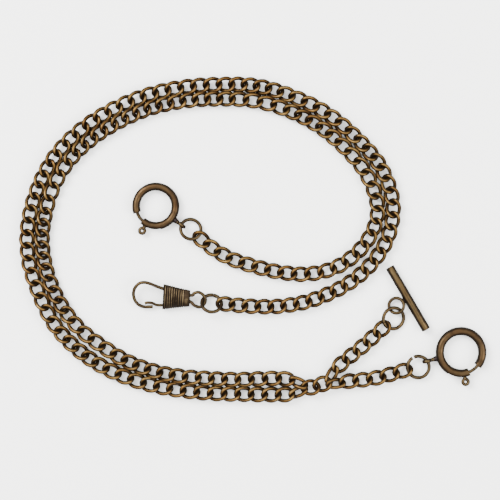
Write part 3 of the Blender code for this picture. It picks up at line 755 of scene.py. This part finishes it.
def lay_spring_ring(size, centre, eye, radius, tube_r, gap_at, side, trigger, trigger_r):
    """A hollow ring whose bolt slides back inside it against a coil, with a loop to pull it by.

    gap_at: the gap's place round the ring, in degrees; side: which way round the bolt slides back.
    trigger: the pull's distance from the ring's middle, and trigger_r its loop's radius.
    """
    name = size + "_ring"

    def turn(offset):
        return gap_at + side * offset

    # the tube: rolled, open at the gap, with a slot for the pull's stem along its outer side
    tube = spun_wire(radius, tube_r, 331, 110, sides=24, filled=False)
    start = turn(14.5) if side > 0 else turn(345.5)
    slot_from, slot_to = (-1, 53) if side > 0 else (278, 332)

    def in_slot(at):
        around = math.degrees(math.atan2(at.y, at.x)) % 360
        inside = slot_from < (around if around < 335 else around - 360) < slot_to
        return inside and math.hypot(at.x, at.y) > (radius + tube_r * 0.9) * MM

    pick(tube, in_slot)
    bpy.ops.mesh.delete(type="FACE")
    done()
    apply_modifier(tube, "SOLIDIFY", thickness=TUBE_WALL * MM, offset=-1)
    put(tube, at_height(centre, RING_HEIGHT) @ flat_turn(start))
    soften(tube, 0.07, 2, 60)
    finish_piece(tube, f"rolled_{name}", name, CLASP_BRASS, [name + "_tube"], smooth=50)

    # the eye stands upright, on a stem that is soldered to the tube
    middle = Vector((*centre, RING_HEIGHT))
    hole = Vector((*eye, RING_HEIGHT))
    outward = (hole - middle).normalized()
    loop = spun_wire(EYE_RADIUS, EYE_WIRE, 358, 40)
    pick(loop, lambda at: True)
    bpy.ops.transform.resize(value=(1, 1, 1.5))
    done()
    put(loop, framed(hole, outward, 90))
    stem = straight_wire(middle + outward * (radius + tube_r - 0.1), hole - outward * 1.25, 0.85, 0.68)
    eye_piece = join([loop, stem])
    finish_piece(eye_piece, f"soldered_{name}_eye", name, RING_BRASS, [name + "_eye"])
    solder_joint(
        f"{name}_eye_solder", name, middle + outward * (radius + tube_r - 0.3),
        middle + outward * (radius + tube_r + 1.0), 1.3, 1.0, 0.9,
    )

    # the bolt: a bent rod, its stem and its pull
    body = size + "_bolt"
    rod = spun_wire(radius, BOLT_WIRE, 65, 30)
    put(rod, at_height(centre, RING_HEIGHT) @ flat_turn(turn(-17.5) if side > 0 else turn(47.5)))
    pull_at = math.radians(turn(TRIGGER_AT))
    pull = Vector((math.cos(pull_at), math.sin(pull_at), 0))
    stem = straight_wire(middle + pull * radius, middle + pull * (trigger - trigger_r), 0.45, 0.85)
    loop = spun_wire(trigger_r, PULL_WIRE, 359, 32)
    put(loop, framed(middle + pull * trigger, pull))
    bolt = join([rod, stem, loop])
    finish_piece(bolt, f"bent_{name}_bolt", body, RING_BRASS, [name + "_bolt"])

    # the coil fills 59 degrees of the tube, from the bolt's end on
    points = []
    steps = COIL_TURNS * 10
    for i in range(steps + 1):
        along = math.radians(turn(49 + 59 * i / steps))
        wound = 2 * math.pi * i / 10
        out = radius + COIL_RADIUS * math.cos(wound)
        rise = COIL_RADIUS * math.sin(wound)
        points.append(middle + Vector((out * math.cos(along), out * math.sin(along), rise)))
    coil = bent_wire(points, COIL_WIRE, sides=6)
    finish_piece(coil, f"coiled_{name}_spring", name, SPRING_STEEL, [name + "_spring"])
    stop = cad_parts[name + "_stop"]
    stop.data.materials.clear()
    stop.data.materials.append(CLASP_BRASS)


def bent_wire(points, radius, sides=12):
    """A wire along points in mm, made a mesh with its ends closed."""
    data = bpy.data.curves.new("wire", "CURVE")
    data.dimensions = "3D"
    data.bevel_depth = radius * MM
    data.bevel_resolution = (sides - 4) // 2
    data.use_fill_caps = True
    spline = data.splines.new("POLY")
    spline.points.add(len(points) - 1)
    for slot_point, place in zip(spline.points, points):
        slot_point.co = (*((Vector(place) + SHIFT) * MM), 1)
    obj = bpy.data.objects.new("wire", data)
    bpy.context.scene.collection.objects.link(obj)
    take(obj)
    bpy.ops.object.convert(target="MESH")
    obj = bpy.context.active_object
    outward_faces(obj)
    return obj


def clip_roll():
    """The clip lies rolled a little about its sleeve."""
    mouth = (Vector((*SLEEVE_MOUTH, CLIP_HEIGHT)) + SHIFT) * MM
    tip = (Vector((*SLEEVE_TIP, CLIP_HEIGHT)) + SHIFT) * MM
    about = Matrix.Translation(mouth)
    return about @ Matrix.Rotation(math.radians(CLIP_ROLL), 4, tip - mouth) @ about.inverted()


def smooth_wire(points, radius, pieces):
    route = Route([(x, y, CLIP_HEIGHT) for x, y in points])
    wire = bent_wire([route.at(route.length * i / pieces) for i in range(pieces + 1)], radius)
    soften(wire, 0.12, 2, 60)
    return wire


def clip_sleeve():
    """A flattened cone, pressed into ribs, with a plain band at its narrow end."""
    length = (Vector(SLEEVE_TIP) - Vector(SLEEVE_MOUTH)).length
    deselect()
    bpy.ops.mesh.primitive_cone_add(
        vertices=48, radius1=SLEEVE_MOUTH_RADIUS * MM, radius2=SLEEVE_END_RADIUS * MM,
        depth=length * MM, end_fill_type="NOTHING", location=(0, 0, length / 2 * MM),
    )
    cone = bpy.context.active_object
    take(cone)
    bpy.ops.object.transform_apply(location=True, rotation=True, scale=True)
    # each ring: how far from the mouth, how far out from the plain cone, and how much patina and painted
    # shade darken it
    rings = [(0.0, 0.0, 0.9)]
    for rib in range(RIBS):
        start = 0.2 + rib * RIB_PITCH
        rings += [
            (start, -0.14, 2.2), (start + 0.28, -0.1, 1.8), (start + 0.38, 0.1, 0.0),
            (start + 0.5, 0.1, 0.0), (start + 0.6, -0.1, 1.8),
        ]
    rings += [
        (7.45, -0.14, 2.2), (7.6, 0.04, 0.8), (8.4, 0.06, 0.6), (9.0, 0.04, 0.8),
        (length, 0.0, 2.2),
    ]
    for along, _, _ in rings[1:-1]:
        pick(cone, lambda at: True)
        bpy.ops.mesh.bisect(plane_co=(0, 0, along * MM), plane_no=(0, 0, 1))
        done()
    patina_and_shade_held = {}
    for along, rise, wash_and_shade in rings:
        narrowing = SLEEVE_END_RADIUS - SLEEVE_MOUTH_RADIUS
        plain = SLEEVE_MOUTH_RADIUS + narrowing * along / length
        pick(cone, lambda co: abs(co.z - along * MM) < 0.00002, "VERT")
        if rise:
            grown = (plain + rise) / plain
            bpy.ops.transform.resize(
                value=(grown, grown, 1), center_override=(0, 0, along * MM)
            )
        done()
        for vertex in cone.data.vertices:
            if vertex.select:
                patina_and_shade_held[vertex.index] = wash_and_shade
    note = cone.data.attributes.new("recess", "FLOAT", "POINT")
    for index, wash_and_shade in patina_and_shade_held.items():
        note.data[index].value = wash_and_shade
    outward_faces(cone)
    pick(cone, lambda at: True)
    bpy.ops.transform.resize(value=(SLEEVE_FLATNESS, 1, 1), center_override=(0, 0, 0))
    done()
    apply_modifier(cone, "SOLIDIFY", thickness=SLEEVE_WALL * MM, offset=-1)
    return cone


def lay_clip():
    roll = clip_roll()
    hook = smooth_wire(HOOK, HOOK_WIRE, 150)
    put(hook, roll)
    finish_piece(hook, "bent_clip_hook", "clip", RING_BRASS, ["clip_hook"])
    sleeve = clip_sleeve()
    mouth = Vector((*SLEEVE_MOUTH, CLIP_HEIGHT))
    ahead = Vector((*SLEEVE_TIP, CLIP_HEIGHT)) - mouth
    put(sleeve, roll @ framed(mouth, ahead) @ Matrix.Rotation(math.pi / 2, 4, "Y"))
    finish_piece(
        sleeve, "pressed_clip_sleeve", "clip", CLIP_BRASS, ["clip_sleeve"], smooth=60
    )
    gate = smooth_wire(GATE, GATE_WIRE, 50)
    put(gate, roll)
    finish_piece(gate, "bent_clip_gate", "clip_gate", RING_BRASS, ["clip_gate"])


jump_ring("t_jump_ring", T_BRANCH[-1], (50.6, -28.4, 1.5), T_RING_CENTRE, 3.85, 18, (200, 0.4))
jump_ring("clasp_jump_ring", CLASP_BRANCH[-1], (59.5, -45.9, 1.68), LARGE_EYE, 3.9, 4, (118, 4.0))
jump_ring("clip_jump_ring", OUTER_ROUTE[-1], (-14.9, -23.0, 2.18), CLIP_EYE, 3.55, 32.5, (80, 0.4))
jump_ring("small_jump_ring", INNER_ROUTE[-1], (-22.4, 3.7, 1.75), SMALL_EYE, 3.7, 18, (30, 0.4))
lay_t_bar()
lay_spring_ring(
    "large", (74.9, -40.6), LARGE_EYE,
    radius=7.64, tube_r=1.52, gap_at=306.1, side=-1, trigger=10.75, trigger_r=1.0,
)
lay_spring_ring(
    "small", (-35.0, 12.0), SMALL_EYE,
    radius=7.08, tube_r=1.45, gap_at=213.5, side=1, trigger=10.15, trigger_r=0.95,
)
lay_clip()


# --- table, light, camera ---------------------------------------------------------------------
def plain_floor():
    """A matt white table top."""
    deselect()
    bpy.ops.mesh.primitive_plane_add(size=4.0)
    floor = bpy.context.active_object
    floor.name = "table_top"
    made, tree, shader = new_material("matt_white_laminate")
    shader.inputs["Base Color"].default_value = linear("#F6F6F4")
    shader.inputs["Roughness"].default_value = 0.9
    shader.inputs["Specular IOR Level"].default_value = 0.2
    floor.data.materials.append(made)


def soft_light(name, place, size, power):
    data = bpy.data.lights.new(name, "AREA")
    data.shape = "SQUARE"
    data.size = size
    data.energy = power
    lamp = bpy.data.objects.new(name, data)
    bpy.context.scene.collection.objects.link(lamp)
    lamp.location = place
    lamp.rotation_euler = (-Vector(place)).to_track_quat("-Z", "Y").to_euler()


def studio():
    """A bright diffuser overhead that falls off to dim walls, and two softboxes."""
    world = bpy.data.worlds.new("studio")
    world.use_nodes = True
    tree = world.node_tree
    toward = node(tree, "ShaderNodeTexCoord")
    height = node(tree, "ShaderNodeSeparateXYZ", {0: toward.outputs["Generated"]})
    fall = node(
        tree, "ShaderNodeMapRange",
        {"Value": height.outputs["Z"], "From Min": 0.15, "From Max": 0.85, "To Min": 0.6, "To Max": 3.8},
        interpolation_type="SMOOTHSTEP",
    )
    background = tree.nodes["Background"]
    background.inputs["Color"].default_value = (1.0, 1.0, 1.0, 1.0)
    tree.links.new(fall.outputs[0], background.inputs["Strength"])
    bpy.context.scene.world = world
    soft_light("softbox_left", (-0.7, 0.5, 0.9), 0.7, 40.0)
    soft_light("softbox_right", (0.9, -0.2, 0.8), 0.6, 16.0)


def overhead_camera():
    """Looks straight down; 180 mm of the table fill the frame."""
    data = bpy.data.cameras.new("camera")
    data.sensor_width = 36.0
    data.lens = 135.0
    camera = bpy.data.objects.new("camera", data)
    bpy.context.scene.collection.objects.link(camera)
    height = 180.0 * data.lens / data.sensor_width + CHAIN_HEIGHT
    camera.location = Vector((-1.08 + SHIFT.x, -3.78 + SHIFT.y, height)) * MM
    data.clip_start = 0.01
    bpy.context.scene.camera = camera


plain_floor()
studio()
overhead_camera()
